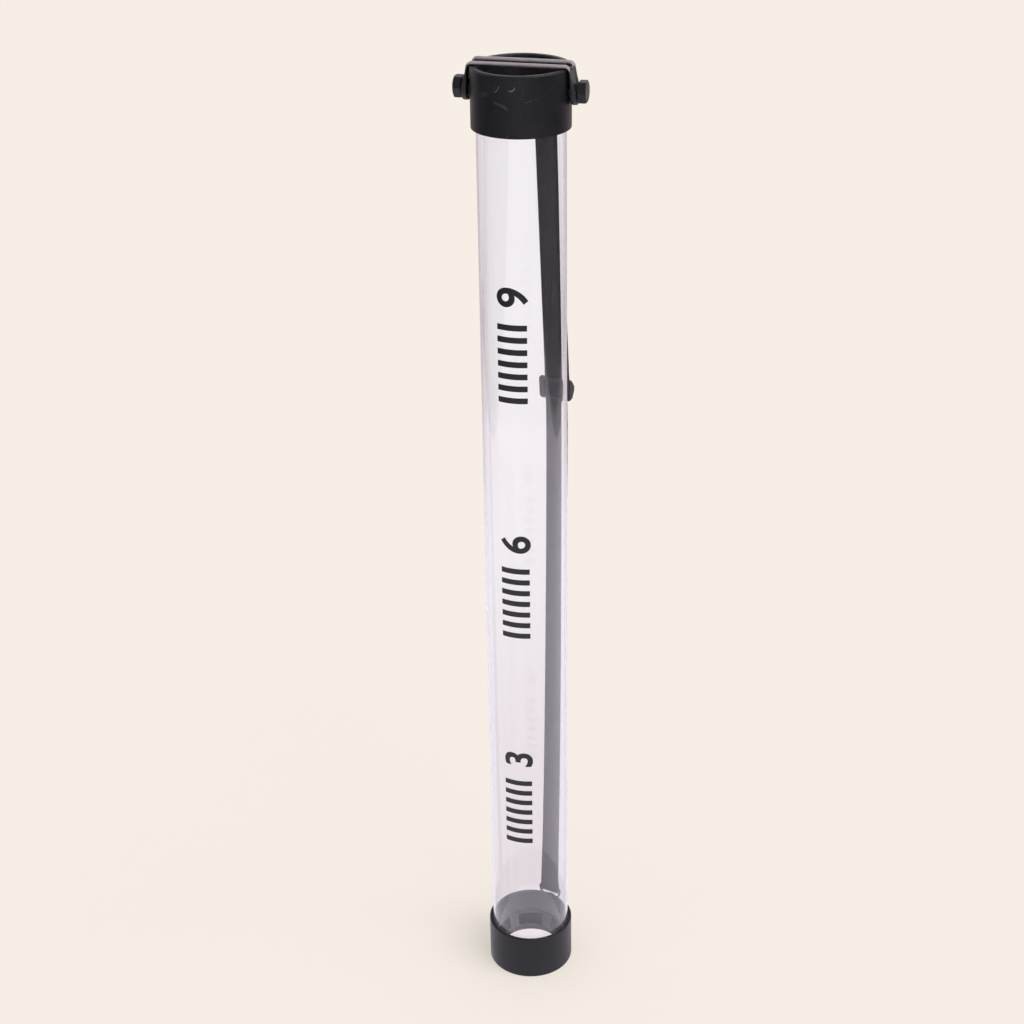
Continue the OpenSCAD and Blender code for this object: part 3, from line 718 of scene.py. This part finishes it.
thread = thread_black()
stitch_tree = repeated_bars(thread)
stitch_rows("tail_stitches", "strap", PLY - LOOP_IN, LOW_BAR + 0.0165, LOW_BAR + 0.0375, LOOP_Z, -LOWER_LEAN)
stitch_rows("end_stitches", "slider", LOOP_IN + PLY, SLIDER_Z + 0.0135, END_TOP - 0.003, TOP_BAR, UPPER_LEAN)
dress(thread, "lower_bartacks", "slider_bartacks")

# Studio. A pale paper floor, one wide soft light from the right, an even dim surround, and the camera. Reflected
# and seen through the clear tube, the floor shows as the pale lilac that clear plastic takes on in a white room.
# In reflections it is dark past its two side edges, traced from the dark V on the photo's strap.
PAPER = (0.965, 0.905, 0.83, 1)
PAPER_REACH, REACH_SOFT, AHEAD_DARK = 1.35, 0.04, 0.5
PAPER_SIDE, PAPER_SPREAD, SIDE_SOFT, SIDES_FROM, SIDES_FULL = 1.29, 0.137, 0.02, -1.6, -1.2
TO_CAMERA, TO_RIGHT, TO_DARK = (0.2419, -0.9703, 0.0), (0.9703, 0.2419, 0.0), (-0.19, -0.982, 0.0)
PAPER_LIT, PAPER_THROUGH, SHADOW_LIFT = (0.922, 0.855, 0.776, 1), (1.0, 0.965, 0.99, 1), 0.5
LOW_SKY, HIGH_SKY, SOFT_SKY = 1.0, 0.42, 0.62


def paper():
    n = Nodes("paper")
    rays = n.add("LightPath")
    spot = n.add("NewGeometry").outputs["Position"]
    reach = n.add("VectorMath", {"operation": "LENGTH"}, _0=spot).outputs["Value"]
    toward = n.add("VectorMath", {"operation": "DOT_PRODUCT"}, _0=spot, _1=TO_CAMERA).outputs["Value"]
    far = n.span(reach, PAPER_REACH - REACH_SOFT, PAPER_REACH + REACH_SOFT)
    to_dark = n.add("VectorMath", {"operation": "DOT_PRODUCT"}, _0=spot, _1=TO_DARK).outputs["Value"]
    around = n.span(n.math("DIVIDE", to_dark, reach), -0.4, -0.15)
    beside = n.add("VectorMath", {"operation": "DOT_PRODUCT"}, _0=spot, _1=TO_RIGHT).outputs["Value"]
    widening = n.math("MULTIPLY", toward, PAPER_SPREAD)
    out = n.math("SUBTRACT", n.math("ABSOLUTE", beside), widening)
    aside = n.math("MULTIPLY", n.span(out, PAPER_SIDE - SIDE_SOFT, PAPER_SIDE + SIDE_SOFT),
                   n.span(toward, SIDES_FROM, SIDES_FULL))
    ahead_dark = n.math("MULTIPLY", n.math("MULTIPLY", far, around), AHEAD_DARK)
    sheet = n.add("BsdfDiffuse", None, Color=PAPER)
    ahead = n.span(n.math("DIVIDE", toward, reach), -0.1, 0.5)
    pale = n.math("MAXIMUM", ahead, n.span(reach, 0.7, 1.6, 1.0, 0.0))
    mirrored = n.add("Emission", None, Color=n.blend(pale, (0.66, 0.58, 0.61, 1), (0.96, 0.92, 1.0, 1)),
                     Strength=n.math("SUBTRACT", 1.0, n.math("MAXIMUM", aside, ahead_dark)))
    # Seen through the tube the floor is a plain emission, painted darker within a metre of the base: a painted
    # shade round the object's foot.
    through = n.add("Emission", None, Strength=1.0,
                    Color=n.blend(n.span(reach, 0.2, 1.0), (0.88, 0.81, 0.83, 1), PAPER_THROUGH))
    seen_in = n.math("GREATER_THAN", rays.outputs["Glossy Depth"], 0.5)
    seen_past = n.math("MULTIPLY", rays.outputs["Is Transmission Ray"], n.math("SUBTRACT", 1.0, seen_in))
    lifted = n.add("Emission", None, Color=PAPER_LIT, Strength=1.0)
    in_view = n.math("MULTIPLY", rays.outputs["Is Camera Ray"], SHADOW_LIFT)
    bare = n.add("MixShader", None, _0=in_view, _1=sheet.outputs[0], _2=lifted.outputs[0])
    both = n.add("MixShader", None, _0=seen_in, _1=bare.outputs[0], _2=mirrored.outputs[0])
    all_three = n.add("MixShader", None, _0=seen_past, _1=both.outputs[0], _2=through.outputs[0])
    n.tree.links.new(all_three.outputs[0], n.out.inputs["Surface"])
    return n.material


bm = bmesh.new()
bmesh.ops.create_grid(bm, x_segments=1, y_segments=1, size=30.0)
floor = add_mesh("floor", bm)
floor.data.materials.append(paper())

world = bpy.data.worlds.new("surround")
world.use_nodes = True
bpy.context.scene.world = world
add, link = world.node_tree.nodes.new, world.node_tree.links.new
sky = world.node_tree.nodes["Background"]
sky.inputs["Color"].default_value = (1.0, 0.985, 0.985, 1)
sky_way, sky_height = add("ShaderNodeTexCoord"), add("ShaderNodeSeparateXYZ")
low_band = add("ShaderNodeMapRange")
for key, number in (("From Min", 0.3), ("From Max", 0.5), ("To Min", LOW_SKY), ("To Max", HIGH_SKY)):
    low_band.inputs[key].default_value = number
link(sky_way.outputs["Generated"], sky_height.inputs[0])
link(sky_height.outputs[2], low_band.inputs["Value"])
paths, brightness = add("ShaderNodeLightPath"), add("ShaderNodeMapRange")
brightness.inputs["To Min"].default_value = SOFT_SKY
link(low_band.outputs[0], brightness.inputs["To Max"])
link(paths.outputs["Is Glossy Ray"], brightness.inputs["Value"])
link(brightness.outputs[0], sky.inputs["Strength"])
shown = sky.outputs[0]
for flag, colour in (("Is Transmission Ray", PAPER_THROUGH), ("Is Camera Ray", PAPER_LIT)):
    far_paper, choice = add("ShaderNodeBackground"), add("ShaderNodeMixShader")
    far_paper.inputs["Color"].default_value = colour
    link(paths.outputs[flag], choice.inputs[0])
    link(shown, choice.inputs[1])
    link(far_paper.outputs[0], choice.inputs[2])
    shown = choice.outputs[0]
link(shown, world.node_tree.nodes["World Output"].inputs["Surface"])

key = bpy.data.lights.new("key", "SUN")
key.energy = 1.5
key.angle = math.radians(50)
key.color = (1.0, 0.985, 0.97)
key_at = bpy.data.objects.new("key", key)
bpy.context.scene.collection.objects.link(key_at)
key_at.rotation_euler = Vector((0.9, -0.3, 1.0)).to_track_quat("Z", "Y").to_euler()

camera = bpy.data.cameras.new("camera")
camera.sensor_width = 36
camera.lens = 66.35
camera_at = bpy.data.objects.new("camera", camera)
bpy.context.scene.collection.objects.link(camera_at)
camera_at.matrix_world = (Matrix.Translation((0.35915, -1.44049, 1.235839))
                          @ Matrix.Rotation(math.radians(14.469), 4, "Z")
                          @ Matrix.Rotation(math.radians(90 - 26.707), 4, "X")
                          @ Matrix.Rotation(math.radians(-0.899), 4, "Z"))
bpy.context.scene.camera = camera_at

bpy.context.scene.view_settings.view_transform = "Standard"
